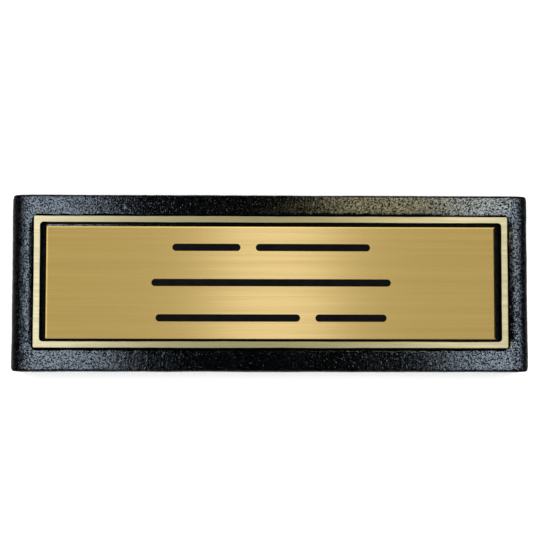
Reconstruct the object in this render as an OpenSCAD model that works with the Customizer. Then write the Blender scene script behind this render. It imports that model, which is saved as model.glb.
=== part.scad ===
// Desk paperweight: a cast slab with a textured black finish, a proud brass
// border frame bonded into a shallow pocket, an engraved brass plate inside
// the frame, and a felt pad underneath.
//
// Millimetres. +X runs along the length, +Y to the back, +Z up. The origin is
// the centre of the base's outline, on the surface that the felt rests on.
// The plate drives the frame, the frame drives the pocket, and the pocket
// with its margins drives the casting.

/* [Name plate] */
// Length of the brass plate
plate_length = 101.6; // [70:0.1:160]
// Depth of the brass plate, front to back
plate_depth = 25.4; // [21:0.1:50]
// Thickness of the brass plate
plate_thickness = 1; // [0.7:0.1:2.4]
// Width of the bevel round the plate's face, seen from above
plate_bevel_width = 0.3; // [0.1:0.05:0.8]
// Height of that bevel
plate_bevel_height = 0.05; // [0.05:0.05:0.6]
// Offset of the plate from the frame's centre, to the right and to the back
plate_shift = [0, -0.1]; // [-0.25:0.05:0.25]
// Thickness of the double-sided film under the plate
film_thickness = 0.3; // [0.1:0.05:0.8]
// How far the film stays inside the plate's edge
film_inset = 0.6; // [0.2:0.1:3]

/* [Engraving] */
// Lengths of the plain marks in the back row
back_marks = [15.4, 25.9]; // [4:0.1:34]
// Lengths of the plain marks in the middle row
middle_marks = [54.2]; // [4:0.1:66]
// Lengths of the plain marks in the front row
front_marks = [32.6, 16.1]; // [4:0.1:34]
// Distance from row to row
row_pitch = 8; // [3:0.5:11]
// Width of each mark
mark_width = 1.6; // [0.6:0.1:3]
// Gap between two marks in one row
mark_gap = 3.5; // [1:0.1:8]
// Depth of the engraving
engraving_depth = 0.3; // [0.15:0.05:0.5]
// How far the black infill stays below the plate's face
fill_recess = 0.08; // [0.02:0.01:0.12]

/* [Border frame] */
// Gap between the frame and each end of the plate
end_gap = 1.3; // [0.6:0.05:6]
// Gap between the frame and each long edge of the plate
side_gap = 0.75; // [0.5:0.05:6]
// Width of the frame's bar, seen from above
bar_width = 1.4; // [1:0.1:5]
// Height of the frame's bar
bar_height = 2.3; // [1.2:0.1:5]
// Radius of the frame's outer corners
frame_outer_radius = 0.3; // [0.1:0.1:3]
// Radius of the frame's inner corners
frame_inner_radius = 0.8; // [0.2:0.1:1.2]
// Thickness of the bond under the frame
bond_thickness = 0.15; // [0.05:0.05:0.5]
// How far the bond stays inside each edge of the frame's bar
bond_inset = 0.15; // [0.05:0.05:0.4]

/* [Cast base] */
// Textured field between the pocket and each end of the base
end_margin = 4.8; // [3.5:0.05:30]
// Textured field between the pocket and each long side of the base
side_margin = 4.85; // [3:0.05:30]
// Height of the casting, from its flat underside to its field
base_height = 12; // [6:0.5:30]
// Radius of the roll from the field down into each end
end_roll = 3; // [0.3:0.1:4.5]
// Radius of the roll from the field down into each long side
side_roll = 0.4; // [0.3:0.1:2.8]
// Radius of the upright corners
corner_radius = 1; // [0.4:0.1:6]
// Width of the bevel ground round the underside
foot_bevel = 0.5; // [0.2:0.1:2]
// Depth of the pocket that holds the frame and the plate
pocket_depth = 1; // [0.4:0.1:3]
// Clearance all round the frame in its pocket
frame_clearance = 0.3; // [0.1:0.05:1]
// Offset of the pocket from the base's centre, to the right and to the back
pocket_shift = [0.15, 0.15]; // [-1:0.05:1]

/* [Felt pad] */
// Thickness of the felt
felt_thickness = 1.5; // [0.8:0.1:4]
// How far the felt stays inside the outline of the base
felt_inset = 2; // [0.8:0.1:8]
// Radius of the felt's corners
felt_radius = 3; // [0.5:0.5:8]
// Thickness of the adhesive on the back of the felt
felt_glue_thickness = 0.1; // [0.05:0.05:0.4]
// How far that adhesive stays inside the felt's edge
felt_glue_inset = 0.5; // [0.2:0.1:2]

/* [Hidden] */

// Overlap of a cutting shape with the air it cuts into
cut_over = 1;

// Outlines, as [length, depth]
plate_size = [plate_length, plate_depth];
frame_opening = plate_size + 2 * [end_gap, side_gap];
frame_size = frame_opening + 2 * [bar_width, bar_width];
pocket_size = frame_size + 2 * [frame_clearance, frame_clearance];
base_size = pocket_size + 2 * [end_margin, side_margin];
felt_size = base_size - 2 * [felt_inset, felt_inset];

// The pocket's corners run round the frame's at an even clearance
pocket_radius = frame_outer_radius + frame_clearance;

// Heights above the surface that the felt rests on
base_z = felt_thickness + felt_glue_thickness;
field_z = base_z + base_height;
pocket_z = field_z - pocket_depth;
frame_z = pocket_z + bond_thickness;
plate_z = pocket_z + film_thickness;
engraving_z = plate_z + plate_thickness - engraving_depth;
fill_thickness = engraving_depth - fill_recess;

// The plain marks, from the back row to the front row
rows = [back_marks, middle_marks, front_marks];

// Sum of the first count values of a list
function sum_of(values, count) =
    count <= 0 ? 0 : values[count - 1] + sum_of(values, count - 1);

// Flat rectangle about the origin, with round corners
module rounded_plate(size, radius) {
    square([size.x - 2 * radius, size.y], center = true);
    square([size.x, size.y - 2 * radius], center = true);
    for (side_x = [-1, 1], side_y = [-1, 1])
        translate([side_x * (size.x / 2 - radius), side_y * (size.y / 2 - radius)])
            circle(r = radius, $fn = 64);
}

// Upright section of the casting: bevelled foot, straight sides, rolled top
module rolled_section(width, roll) {
    half = width / 2;
    polygon([
        [-half + foot_bevel, 0], [half - foot_bevel, 0],
        [half, foot_bevel], [half, base_height - roll],
        [half - roll, base_height], [-half + roll, base_height],
        [-half, base_height - roll], [-half, foot_bevel]
    ]);
    for (side = [-1, 1])
        translate([side * (half - roll), base_height - roll])
            circle(r = roll, $fn = 96);
}

// Upright section of the plate: square lower edges, bevelled upper edges
module bevelled_section(width) {
    half = width / 2;
    shoulder = plate_thickness - plate_bevel_height;
    polygon([
        [-half, 0], [half, 0], [half, shoulder],
        [half - plate_bevel_width, plate_thickness],
        [-half + plate_bevel_width, plate_thickness], [-half, shoulder]
    ]);
}

// Ring about the origin whose bar is narrowed by inset on both edges
module frame_outline(inset) {
    trim = [inset, inset];
    difference() {
        rounded_plate(frame_size - 2 * trim, max(frame_outer_radius - inset, 0.05));
        rounded_plate(frame_opening + 2 * trim, frame_inner_radius + inset);
    }
}

// One plain engraved mark: a bar with round ends
module mark(length) {
    square([length - mark_width, mark_width], center = true);
    for (side = [-1, 1])
        translate([side * (length - mark_width) / 2, 0])
            circle(d = mark_width, $fn = 48);
}

// All the marks, each row centred on the plate
module marks() {
    for (row = [0 : len(rows) - 1]) {
        lengths = rows[row];
        row_length = sum_of(lengths, len(lengths)) + mark_gap * (len(lengths) - 1);
        row_y = ((len(rows) - 1) / 2 - row) * row_pitch;
        for (i = [0 : len(lengths) - 1])
            translate([
                sum_of(lengths, i) + i * mark_gap + (lengths[i] - row_length) / 2,
                row_y
            ])
                mark(lengths[i]);
    }
}

// Moves its children from the base's centre to the pocket's, at a height
module in_pocket(z) {
    translate([pocket_shift.x, pocket_shift.y, z]) children();
}

// Moves its children from the base's centre to the plate's, at a height
module on_plate(z) {
    in_pocket(z) translate([plate_shift.x, plate_shift.y, 0]) children();
}

module cast_base() {
    color("#15181a")
        difference() {
            translate([0, 0, base_z])
                intersection() {
                    rotate([90, 0, 0])
                        linear_extrude(base_size.y + 2 * cut_over, center = true)
                            rolled_section(base_size.x, end_roll);
                    rotate([90, 0, 90])
                        linear_extrude(base_size.x + 2 * cut_over, center = true)
                            rolled_section(base_size.y, side_roll);
                    linear_extrude(base_height)
                        rounded_plate(base_size, corner_radius);
                }
            in_pocket(pocket_z)
                linear_extrude(pocket_depth + cut_over)
                    rounded_plate(pocket_size, pocket_radius);
        }
}

module border_frame() {
    color("#d8cf9e")
        in_pocket(frame_z)
            linear_extrude(bar_height)
                frame_outline(0);
}

module frame_bond() {
    color("#4a4436")
        in_pocket(pocket_z)
            linear_extrude(bond_thickness)
                frame_outline(bond_inset);
}

module name_plate() {
    color("#d0aa5c")
        difference() {
            on_plate(plate_z)
                intersection() {
                    rotate([90, 0, 0])
                        linear_extrude(plate_size.y, center = true)
                            bevelled_section(plate_size.x);
                    rotate([90, 0, 90])
                        linear_extrude(plate_size.x, center = true)
                            bevelled_section(plate_size.y);
                }
            on_plate(engraving_z)
                linear_extrude(engraving_depth + cut_over)
                    marks();
        }
}

module engraving_fill() {
    color("#0a0a0a")
        on_plate(engraving_z)
            linear_extrude(fill_thickness)
                marks();
}

module plate_film() {
    color("#c9c4b4")
        on_plate(pocket_z)
            linear_extrude(film_thickness)
                square(plate_size - 2 * [film_inset, film_inset], center = true);
}

module felt_pad() {
    color("#1f3a2a")
        linear_extrude(felt_thickness)
            rounded_plate(felt_size, felt_radius);
}

module felt_glue() {
    color("#b9b08c")
        translate([0, 0, felt_thickness])
            linear_extrude(felt_glue_thickness)
                rounded_plate(
                    felt_size - 2 * [felt_glue_inset, felt_glue_inset],
                    max(felt_radius - felt_glue_inset, 0.05)
                );
}

cast_base();
border_frame();
frame_bond();
name_plate();
engraving_fill();
plate_film();
felt_pad();
felt_glue();
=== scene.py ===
"""Looks of a desk paperweight: cast base, border frame, engraved plate and felt pad.

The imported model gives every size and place. Each sub-assembly is a class that reads its
box from that model, builds its own meshes in metres and dresses them. Effects that more
than one finish uses are shader node groups, built once in SharedEffects.
"""

from __future__ import annotations

import logging
import math
import random
from dataclasses import dataclass
from enum import Enum
from typing import Any, Callable, Iterable, Sequence

import bmesh
import bpy
import numpy as np
from mathutils import Matrix, Vector, noise


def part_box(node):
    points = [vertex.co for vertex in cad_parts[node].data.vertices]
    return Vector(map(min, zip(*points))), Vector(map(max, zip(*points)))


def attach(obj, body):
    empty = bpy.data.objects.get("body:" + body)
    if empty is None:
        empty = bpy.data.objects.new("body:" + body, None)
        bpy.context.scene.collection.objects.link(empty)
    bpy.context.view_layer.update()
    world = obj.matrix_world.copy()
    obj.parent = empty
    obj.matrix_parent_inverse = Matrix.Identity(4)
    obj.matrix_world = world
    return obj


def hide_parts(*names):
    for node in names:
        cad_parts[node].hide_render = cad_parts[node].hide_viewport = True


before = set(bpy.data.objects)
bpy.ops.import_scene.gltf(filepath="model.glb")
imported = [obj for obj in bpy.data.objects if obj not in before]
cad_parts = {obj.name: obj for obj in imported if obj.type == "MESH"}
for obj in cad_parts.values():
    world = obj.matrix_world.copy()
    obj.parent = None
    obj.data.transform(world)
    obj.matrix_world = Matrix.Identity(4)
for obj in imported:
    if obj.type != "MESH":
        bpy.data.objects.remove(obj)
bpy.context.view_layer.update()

LOG = logging.getLogger("paperweight")
BODY = "root"
MM = 0.001

Colour = tuple[float, float, float]
Point = tuple[float, float, float]
Wave = tuple[float, float, float]


# ---------------------------------------------------------------- geometry helpers


class Box:
    """Place and size of one CAD node, in metres."""

    def __init__(self, node: str) -> None:
        """Reads the box of a node.

        Args:
            node: Name of the CAD node.
        """
        self.low, self.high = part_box(node)

    @property
    def centre(self) -> tuple[float, float]:
        """Middle of the box, seen from above."""
        return (self.low.x + self.high.x) / 2, (self.low.y + self.high.y) / 2

    @property
    def half(self) -> tuple[float, float]:
        """Half the box's length and half its depth."""
        return (self.high.x - self.low.x) / 2, (self.high.y - self.low.y) / 2


@dataclass(frozen=True)
class Cells:
    """How finely an outline is divided, as numbers of cells."""

    along_x: int
    along_y: int
    corner: int


@dataclass(frozen=True)
class Outline:
    """Rectangle with round corners, walked the same way at every size."""

    centre: tuple[float, float]
    half: tuple[float, float]
    radius: float

    def walk(self, cells: Cells) -> np.ndarray:
        """Walks the outline anticlockwise from the middle of the right corner's arc.

        Args:
            cells: Divisions of the sides and of each corner.

        Returns:
            One row per station: x, y and the outward normal's x and y.
        """
        rows: list[tuple[float, float, float, float]] = []
        signs = ((1, 1), (-1, 1), (-1, -1), (1, -1))
        pivots = [
            (
                self.centre[0] + sx * (self.half[0] - self.radius),
                self.centre[1] + sy * (self.half[1] - self.radius),
            )
            for sx, sy in signs
        ]
        for k, pivot in enumerate(pivots):
            start = k * math.pi / 2
            for i in range(cells.corner):
                angle = start + i / cells.corner * math.pi / 2
                nx, ny = math.cos(angle), math.sin(angle)
                rows.append((pivot[0] + self.radius * nx, pivot[1] + self.radius * ny, nx, ny))
            end = start + math.pi / 2
            nx, ny = math.cos(end), math.sin(end)
            following = pivots[(k + 1) % 4]
            count = cells.along_x if k % 2 == 0 else cells.along_y
            for j in range(count):
                t = j / count
                rows.append(
                    (
                        pivot[0] + (following[0] - pivot[0]) * t + self.radius * nx,
                        pivot[1] + (following[1] - pivot[1]) * t + self.radius * ny,
                        nx,
                        ny,
                    )
                )
        return np.array(rows)

    def inset(self, distance: float) -> "Outline":
        """The same outline moved inwards by a distance, with its corners kept round."""
        return Outline(
            self.centre,
            (self.half[0] - distance, self.half[1] - distance),
            max(self.radius - distance, 0.05 * MM),
        )


def ring(stations: np.ndarray, height: float | np.ndarray) -> np.ndarray:
    """Lifts a walked outline to a height.

    Args:
        stations: Rows from Outline.walk.
        height: One height, or one for each station.

    Returns:
        One point per station.
    """
    level = np.broadcast_to(np.asarray(height, float), (len(stations),))
    return np.column_stack([stations[:, 0], stations[:, 1], level])


def wander(points: np.ndarray, wavelength: float, seed: float) -> np.ndarray:
    """Smooth random values between about -1 and 1, the same at every run.

    Args:
        points: One point per row, in metres.
        wavelength: Typical distance from one hump to the next, in metres.
        seed: Offset that picks another pattern.

    Returns:
        One value per point.
    """
    shift = Vector((seed * 17.3, seed * 5.7, seed * 11.1))
    return np.array([noise.noise(Vector(p) / wavelength + shift) for p in points])


def waves(points: np.ndarray, parts: Iterable[Wave]) -> np.ndarray:
    """Adds up several patterns of wander.

    Args:
        points: One point per row, in metres.
        parts: A wavelength, a seed and a height for each pattern.

    Returns:
        One value per point.
    """
    return sum(height * wander(points, wavelength, seed) for wavelength, seed, height in parts)


def quarter_round(inwards: np.ndarray, reach: float | np.ndarray, drop: float) -> np.ndarray:
    """Depth of a rolled edge below the flat, at a distance inwards from the edge.

    Args:
        inwards: Distance from the edge, in metres.
        reach: Width of the roll.
        drop: Depth of the roll at the edge itself.

    Returns:
        One depth per distance.
    """
    part = np.clip(1 - inwards / reach, 0, 1)
    return drop * (1 - np.sqrt(1 - part**2))


def smooth_step(edge_0: float, edge_1: float, value: np.ndarray) -> np.ndarray:
    """Rises smoothly from 0 at edge_0 to 1 at edge_1."""
    t = np.clip((value - edge_0) / (edge_1 - edge_0), 0, 1)
    return t * t * (3 - 2 * t)


def band(low: int, high: int, count: int) -> list[tuple[int, ...]]:
    """Quads between two rings of so many points, from each ring's first index."""
    pairs = [(i, (i + 1) % count) for i in range(count)]
    return [(low + i, low + j, high + j, high + i) for i, j in pairs]


def new_mesh(
    name: str,
    points: Iterable[Any],
    faces: list[tuple[int, ...]],
    smooth: Sequence[bool],
    indices: Sequence[int] | None = None,
) -> bpy.types.Mesh:
    """Makes a mesh.

    Args:
        name: Name of the mesh.
        points: Its points, in metres.
        faces: Its faces, as indices of points.
        smooth: Whether each face is shaded smooth.
        indices: The material slot of each face, or None where there is one.

    Returns:
        The finished mesh.
    """
    made = bpy.data.meshes.new(name)
    made.from_pydata([tuple(p) for p in points], [], faces)
    made.polygons.foreach_set("use_smooth", smooth)
    if indices is not None:
        made.polygons.foreach_set("material_index", indices)
    made.update()
    made.validate()
    return made


class Loft:
    """A skin made of closed rings of points, joined row to row."""

    def __init__(self) -> None:
        """Starts an empty skin."""
        self.rings: list[np.ndarray] = []

    def add(self, points: np.ndarray) -> None:
        """Adds a ring."""
        self.rings.append(points)

    def displace(self, amount: Callable[[np.ndarray, np.ndarray, int], np.ndarray]) -> None:
        """Moves every point along the skin's own normal.

        Args:
            amount: Given the points, their normals and the ring's number, returns metres.
        """
        grid = np.array(self.rings)
        along = np.roll(grid, -1, axis=1) - np.roll(grid, 1, axis=1)
        across = np.gradient(grid, axis=0)
        normals = np.cross(along, across)
        normals /= np.maximum(np.linalg.norm(normals, axis=2, keepdims=True), 1e-12)
        for row in range(len(self.rings)):
            moved = amount(grid[row], normals[row], row)
            self.rings[row] = grid[row] + normals[row] * moved[:, None]

    def mesh(self, name: str) -> bpy.types.Mesh:
        """Joins the rings, caps the first and the last, and returns the closed smooth mesh."""
        count = len(self.rings[0])
        last = (len(self.rings) - 1) * count
        faces: list[tuple[int, ...]] = [tuple(range(count))[::-1]]
        for low in range(0, last, count):
            faces += band(low, low + count, count)
        faces.append(tuple(range(last, last + count)))
        return new_mesh(name, np.concatenate(self.rings), faces, [True] * len(faces))


def place(
    name: str,
    mesh: bpy.types.Mesh,
    materials: Sequence[bpy.types.Material],
    slot: str,
    replaced: Sequence[str] = (),
) -> bpy.types.Object:
    """Puts a mesh in the scene as a piece of the object.

    Args:
        name: Name of the piece.
        mesh: Its mesh, in metres.
        materials: Its materials, in slot order.
        slot: Name of its material slot, which is only logged.
        replaced: CAD nodes that it stands for.

    Returns:
        The new piece.
    """
    piece = bpy.data.objects.new(name, mesh)
    bpy.context.scene.collection.objects.link(piece)
    for material in materials:
        mesh.materials.append(material)
    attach(piece, BODY)
    if replaced:
        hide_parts(*replaced)
    LOG.info("piece %s: %d faces, slot %s", name, len(mesh.polygons), slot)
    return piece


def dress_node(node: str, material: bpy.types.Material) -> bpy.types.Object:
    """Gives a CAD node that stays in view its material.

    Args:
        node: Name of the node.
        material: The material to wear.

    Returns:
        The node's object.
    """
    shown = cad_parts[node]
    for slot in shown.material_slots:
        slot.material = material
    LOG.info("node %s: dressed in %s", node, material.name)
    return shown


# ---------------------------------------------------------------- shader helpers


class Graph:
    """Adds and joins the nodes of one shader tree."""

    def __init__(self, tree: bpy.types.NodeTree) -> None:
        """Wraps a node tree."""
        self.tree = tree

    def add(self, kind: str, inputs: dict[str | int, Any] | None = None, **settings: Any) -> bpy.types.Node:
        """Adds a node.

        Args:
            kind: The node's type.
            inputs: Values or sockets for its inputs, by name or number.
            settings: Properties of the node itself.

        Returns:
            The new node.
        """
        node = self.tree.nodes.new(kind)
        for key, value in settings.items():
            setattr(node, key, value)
        for key, value in (inputs or {}).items():
            if isinstance(value, bpy.types.NodeSocket):
                self.tree.links.new(value, node.inputs[key])
            else:
                node.inputs[key].default_value = value
        return node

    def math(
        self, operation: str, first: Any, second: Any = 0.5, clamp: bool = False
    ) -> bpy.types.NodeSocket:
        """Adds a Math node and returns its result."""
        node = self.add("ShaderNodeMath", {0: first, 1: second}, operation=operation, use_clamp=clamp)
        return node.outputs[0]

    def spread(
        self, value: Any, low: float, high: float, to_low: float, to_high: float
    ) -> bpy.types.NodeSocket:
        """Maps a value smoothly from one range to another, held at both ends."""
        node = self.add(
            "ShaderNodeMapRange",
            {"Value": value, "From Min": low, "From Max": high, "To Min": to_low, "To Max": to_high},
            interpolation_type="SMOOTHSTEP",
        )
        return node.outputs["Result"]

    def blend(self, factor: Any, first: Any, second: Any) -> bpy.types.NodeSocket:
        """Mixes two colours and returns the result."""
        node = self.add("ShaderNodeMix", data_type="RGBA")
        for index, value in ((0, factor), (6, first), (7, second)):
            if isinstance(value, bpy.types.NodeSocket):
                self.tree.links.new(value, node.inputs[index])
            else:
                node.inputs[index].default_value = value
        return node.outputs[2]

    def noise(self, vector: Any, scale: Any, detail: float = 2, rough: float = 0.5) -> bpy.types.NodeSocket:
        """Adds a Noise Texture and returns its value."""
        node = self.add(
            "ShaderNodeTexNoise",
            {"Vector": vector, "Scale": scale, "Detail": detail, "Roughness": rough},
        )
        return node.outputs["Fac"]

    def stretched(self, vector: Any, scale: Any) -> bpy.types.NodeSocket:
        """Multiplies a vector by another and returns the result."""
        node = self.add("ShaderNodeVectorMath", {0: vector, 1: scale}, operation="MULTIPLY")
        return node.outputs[0]

    def place(self) -> bpy.types.NodeSocket:
        """The point on the surface in metres, in the object's own frame."""
        return self.add("ShaderNodeTexCoord").outputs["Object"]

    def clear(self) -> None:
        """Removes every node."""
        for node in list(self.tree.nodes):
            self.tree.nodes.remove(node)

    def coat(
        self,
        shader: bpy.types.Node,
        surface: Any,
        rough: Any,
        height: Any,
        depth: float,
        strength: float = 1.0,
    ) -> None:
        """Joins colour, roughness and bump to a shader.

        Args:
            shader: The Principled BSDF.
            surface: Its colour.
            rough: Its roughness.
            height: The bump's height, without a unit.
            depth: What a height of 1 stands for, in metres.
            strength: Strength of the bump.
        """
        bump = self.add("ShaderNodeBump", {"Height": height, "Strength": strength, "Distance": depth})
        self.tree.links.new(surface, shader.inputs["Base Color"])
        self.tree.links.new(rough, shader.inputs["Roughness"])
        self.tree.links.new(bump.outputs["Normal"], shader.inputs["Normal"])


class Effect(Enum):
    """The shared effects, each a node group of this name."""

    SAND = "sand_grain"
    BRUSH = "brushed_grain"
    BLOTCH = "soft_blotches"
    WEAR = "edge_wear"
    DUST = "settled_dust"


class SharedEffects:
    """Builds the node groups once and places them in materials."""

    def __init__(self) -> None:
        """Builds every group."""
        self.groups = {
            Effect.SAND: self._sand(),
            Effect.BRUSH: self._brush(),
            Effect.BLOTCH: self._blotch(),
            Effect.WEAR: self._wear(),
            Effect.DUST: self._dust(),
        }

    @staticmethod
    def _start(effect: Effect, inputs: dict[str, float], outputs: Iterable[str]) -> tuple[Graph, Any, Any]:
        """Makes an empty group with number inputs, a Vector input and number outputs."""
        tree = bpy.data.node_groups.new(effect.value, "ShaderNodeTree")
        tree.interface.new_socket("Vector", in_out="INPUT", socket_type="NodeSocketVector")
        for name, value in inputs.items():
            socket = tree.interface.new_socket(name, in_out="INPUT", socket_type="NodeSocketFloat")
            socket.default_value = value
        for name in outputs:
            tree.interface.new_socket(name, in_out="OUTPUT", socket_type="NodeSocketFloat")
        graph = Graph(tree)
        return graph, graph.add("NodeGroupInput"), graph.add("NodeGroupOutput")

    def _sand(self) -> bpy.types.NodeTree:
        """Low close-set grains, and a mask of the open pores between them; the enamel uses the mask as
        painted shade that gives back no light.
        """
        graph, given, out = self._start(
            Effect.SAND, {"Scale": 1900.0, "Grit": 0.3, "Pores": 0.8, "Bare": 0.0}, ("Height", "Pores")
        )
        vector, scale = given.outputs["Vector"], given.outputs["Scale"]
        cell_scale, gap_scale = 2.1, 2.2
        facet_share, gap_share = 0.8, 0.6
        grains = graph.noise(vector, scale, 2, 0.5)
        sparse = graph.noise(vector, graph.math("MULTIPLY", scale, 0.9), 1, 0.5)
        domes = graph.spread(sparse, 0.58, 0.70, 0.0, 1.0)
        grit = graph.math("MULTIPLY", domes, given.outputs["Grit"])
        graph.tree.links.new(graph.math("ADD", grains, grit), out.inputs["Height"])
        finer = graph.math("MULTIPLY", scale, cell_scale)
        cells = graph.add("ShaderNodeTexVoronoi", {"Vector": vector, "Scale": finer})
        facet = graph.add("ShaderNodeSeparateColor", {0: cells.outputs["Color"]}).outputs[0]
        gaps = graph.noise(vector, graph.math("MULTIPLY", scale, gap_scale), 2, 0.6)
        lit_facet = graph.math("MULTIPLY", facet, facet_share)
        shine = graph.math("ADD", lit_facet, graph.math("MULTIPLY", gaps, gap_share))
        kept = graph.math("SUBTRACT", shine, given.outputs["Bare"])
        open_pores = graph.spread(kept, 0.51, 0.75, 1.0, 0.0)
        pores = graph.math("MULTIPLY", open_pores, given.outputs["Pores"])
        graph.tree.links.new(pores, out.inputs["Pores"])
        return graph.tree

    def _brush(self) -> bpy.types.NodeTree:
        """Long fine lines along X, in two widths."""
        graph, given, out = self._start(
            Effect.BRUSH, {"Lines": 6000.0, "Stretch": 0.02}, ("Streak", "Height")
        )
        lines, stretch = given.outputs["Lines"], given.outputs["Stretch"]
        along = graph.math("MULTIPLY", lines, stretch)
        scale = graph.add("ShaderNodeCombineXYZ", {"X": along, "Y": lines, "Z": lines}).outputs[0]
        fine = graph.noise(graph.stretched(given.outputs["Vector"], scale), 1.0, 3, 0.6)
        wide_scale = graph.add(
            "ShaderNodeVectorMath", {0: scale, "Scale": 0.24}, operation="SCALE"
        ).outputs[0]
        wide = graph.noise(graph.stretched(given.outputs["Vector"], wide_scale), 1.0, 2, 0.5)
        streak = graph.math("ADD", graph.math("MULTIPLY", fine, 0.6), graph.math("MULTIPLY", wide, 0.4))
        graph.tree.links.new(streak, out.inputs["Streak"])
        graph.tree.links.new(fine, out.inputs["Height"])
        return graph.tree

    def _blotch(self) -> bpy.types.NodeTree:
        """Broad soft patches, from 0 to 1."""
        graph, given, out = self._start(Effect.BLOTCH, {"Scale": 60.0}, ("Mask",))
        value = graph.noise(given.outputs["Vector"], given.outputs["Scale"], 4, 0.55)
        graph.tree.links.new(graph.spread(value, 0.35, 0.65, 0.0, 1.0), out.inputs["Mask"])
        return graph.tree

    def _wear(self) -> bpy.types.NodeTree:
        """Ridges and corners that handling has rubbed, broken up by a noise."""
        graph, given, out = self._start(Effect.WEAR, {"Reach": 0.06, "Break": 900.0}, ("Mask",))
        ridge = graph.add("ShaderNodeNewGeometry").outputs["Pointiness"]
        low = graph.math("ADD", 0.5, graph.math("MULTIPLY", given.outputs["Reach"], 0.4))
        high = graph.math("ADD", 0.5, given.outputs["Reach"])
        edge = graph.add(
            "ShaderNodeMapRange", {"Value": ridge, "From Min": low, "From Max": high}
        ).outputs["Result"]
        broken = graph.noise(given.outputs["Vector"], given.outputs["Break"], 3, 0.6)
        mask = graph.math("MULTIPLY", edge, graph.spread(broken, 0.4, 0.6, 0.0, 1.0), clamp=True)
        graph.tree.links.new(mask, out.inputs["Mask"])
        return graph.tree

    def _dust(self) -> bpy.types.NodeTree:
        """A thin uneven film on faces that look up."""
        graph, given, out = self._start(Effect.DUST, {"Scale": 700.0, "Amount": 0.3}, ("Mask",))
        normal = graph.add("ShaderNodeNewGeometry").outputs["Normal"]
        up = graph.add("ShaderNodeSeparateXYZ", {0: normal}).outputs["Z"]
        level = graph.spread(up, 0.5, 0.98, 0.0, 1.0)
        specks = graph.noise(given.outputs["Vector"], given.outputs["Scale"], 4, 0.7)
        grains = graph.spread(specks, 0.5, 0.72, 0.0, 1.0)
        mask = graph.math("MULTIPLY", graph.math("MULTIPLY", level, grains), given.outputs["Amount"])
        graph.tree.links.new(mask, out.inputs["Mask"])
        return graph.tree

    def use(self, graph: Graph, effect: Effect, vector: Any, **inputs: float) -> bpy.types.Node:
        """Places an effect in a material.

        Args:
            graph: The material's graph.
            effect: Which effect.
            vector: The point that it reads.
            inputs: The group's own values, by input name.

        Returns:
            The group node.
        """
        node = graph.add("ShaderNodeGroup", node_tree=self.groups[effect])
        graph.tree.links.new(vector, node.inputs["Vector"])
        for name, value in inputs.items():
            node.inputs[name].default_value = value
        return node


def start_material(name: str) -> tuple[bpy.types.Material, Graph, bpy.types.Node]:
    """Makes a material with one Principled BSDF.

    Args:
        name: Name of the material.

    Returns:
        The material, its graph and its Principled BSDF.
    """
    material = bpy.data.materials.new(name)
    material.use_nodes = True
    graph = Graph(material.node_tree)
    graph.clear()
    shader = graph.add("ShaderNodeBsdfPrincipled")
    graph.add("ShaderNodeOutputMaterial", {"Surface": shader.outputs["BSDF"]})
    return material, graph, shader


def rgba(colour: Colour) -> tuple[float, float, float, float]:
    """A colour with full alpha."""
    return (*colour, 1.0)


# ---------------------------------------------------------------- finishes


@dataclass(frozen=True)
class TexturedEnamel:
    """Black enamel over a sand-textured casting; its pores are painted shade, made dead black through the
    Metallic mask.
    """

    name: str = "black_sand_enamel"
    colour: Colour = (0.0014, 0.0017, 0.0020)
    rubbed: Colour = (0.012, 0.012, 0.012)
    dust: Colour = (0.05, 0.05, 0.048)
    roughness: tuple[float, float] = (0.15, 0.20)
    specular: float = 1.0
    grain_scale: float = 2300.0
    grain_depth: float = 0.026 * MM
    grit: float = 0.6
    # Strength of the painted shade in the pores.
    pores: float = 0.97
    dust_amount: float = 0.03
    coarse_from: float = 51.5 * MM
    coarse_to: float = 56.0 * MM
    coarse_gain: float = 1.9
    # Where and how strongly the painted shade in the pores grows towards the ends.
    end_shade_from: float = 53.5 * MM
    end_shade_to: float = 56.0 * MM
    end_shade: float = 0.2

    def make(self, effects: SharedEffects) -> bpy.types.Material:
        """Builds the material."""
        material, graph, shader = start_material(self.name)
        point = graph.place()
        grain = {"Scale": self.grain_scale, "Grit": self.grit, "Pores": self.pores}
        sand = effects.use(graph, Effect.SAND, point, **grain)
        blotch = effects.use(graph, Effect.BLOTCH, point, Scale=140.0)
        wear = effects.use(graph, Effect.WEAR, point, Reach=0.12, Break=1400.0)
        dust = effects.use(graph, Effect.DUST, point, Scale=1800.0, Amount=self.dust_amount)
        body = graph.blend(wear.outputs["Mask"], rgba(self.colour), rgba(self.rubbed))
        surface = graph.blend(dust.outputs["Mask"], body, rgba(self.dust))
        rough = graph.spread(blotch.outputs["Mask"], 0.0, 1.0, *self.roughness)
        aside = graph.math("ABSOLUTE", graph.add("ShaderNodeSeparateXYZ", {0: point}).outputs["X"])
        gain = graph.spread(aside, self.coarse_from, self.coarse_to, 1.0, self.coarse_gain)
        # Painted shade: more dead-black pores within a few millimetres of each end, so the ends read darker.
        end_shade = graph.spread(aside, self.end_shade_from, self.end_shade_to, 0.0, self.end_shade)
        graph.tree.links.new(end_shade, sand.inputs["Bare"])
        height = graph.math("MULTIPLY", sand.outputs["Height"], gain)
        shader.inputs["Specular IOR Level"].default_value = self.specular
        # Painted shade: the pore mask turns the black base metallic, so the crevices between grains give
        # back no light.
        graph.tree.links.new(sand.outputs["Pores"], shader.inputs["Metallic"])
        graph.coat(shader, surface, rough, height, self.grain_depth)
        return material


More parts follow.
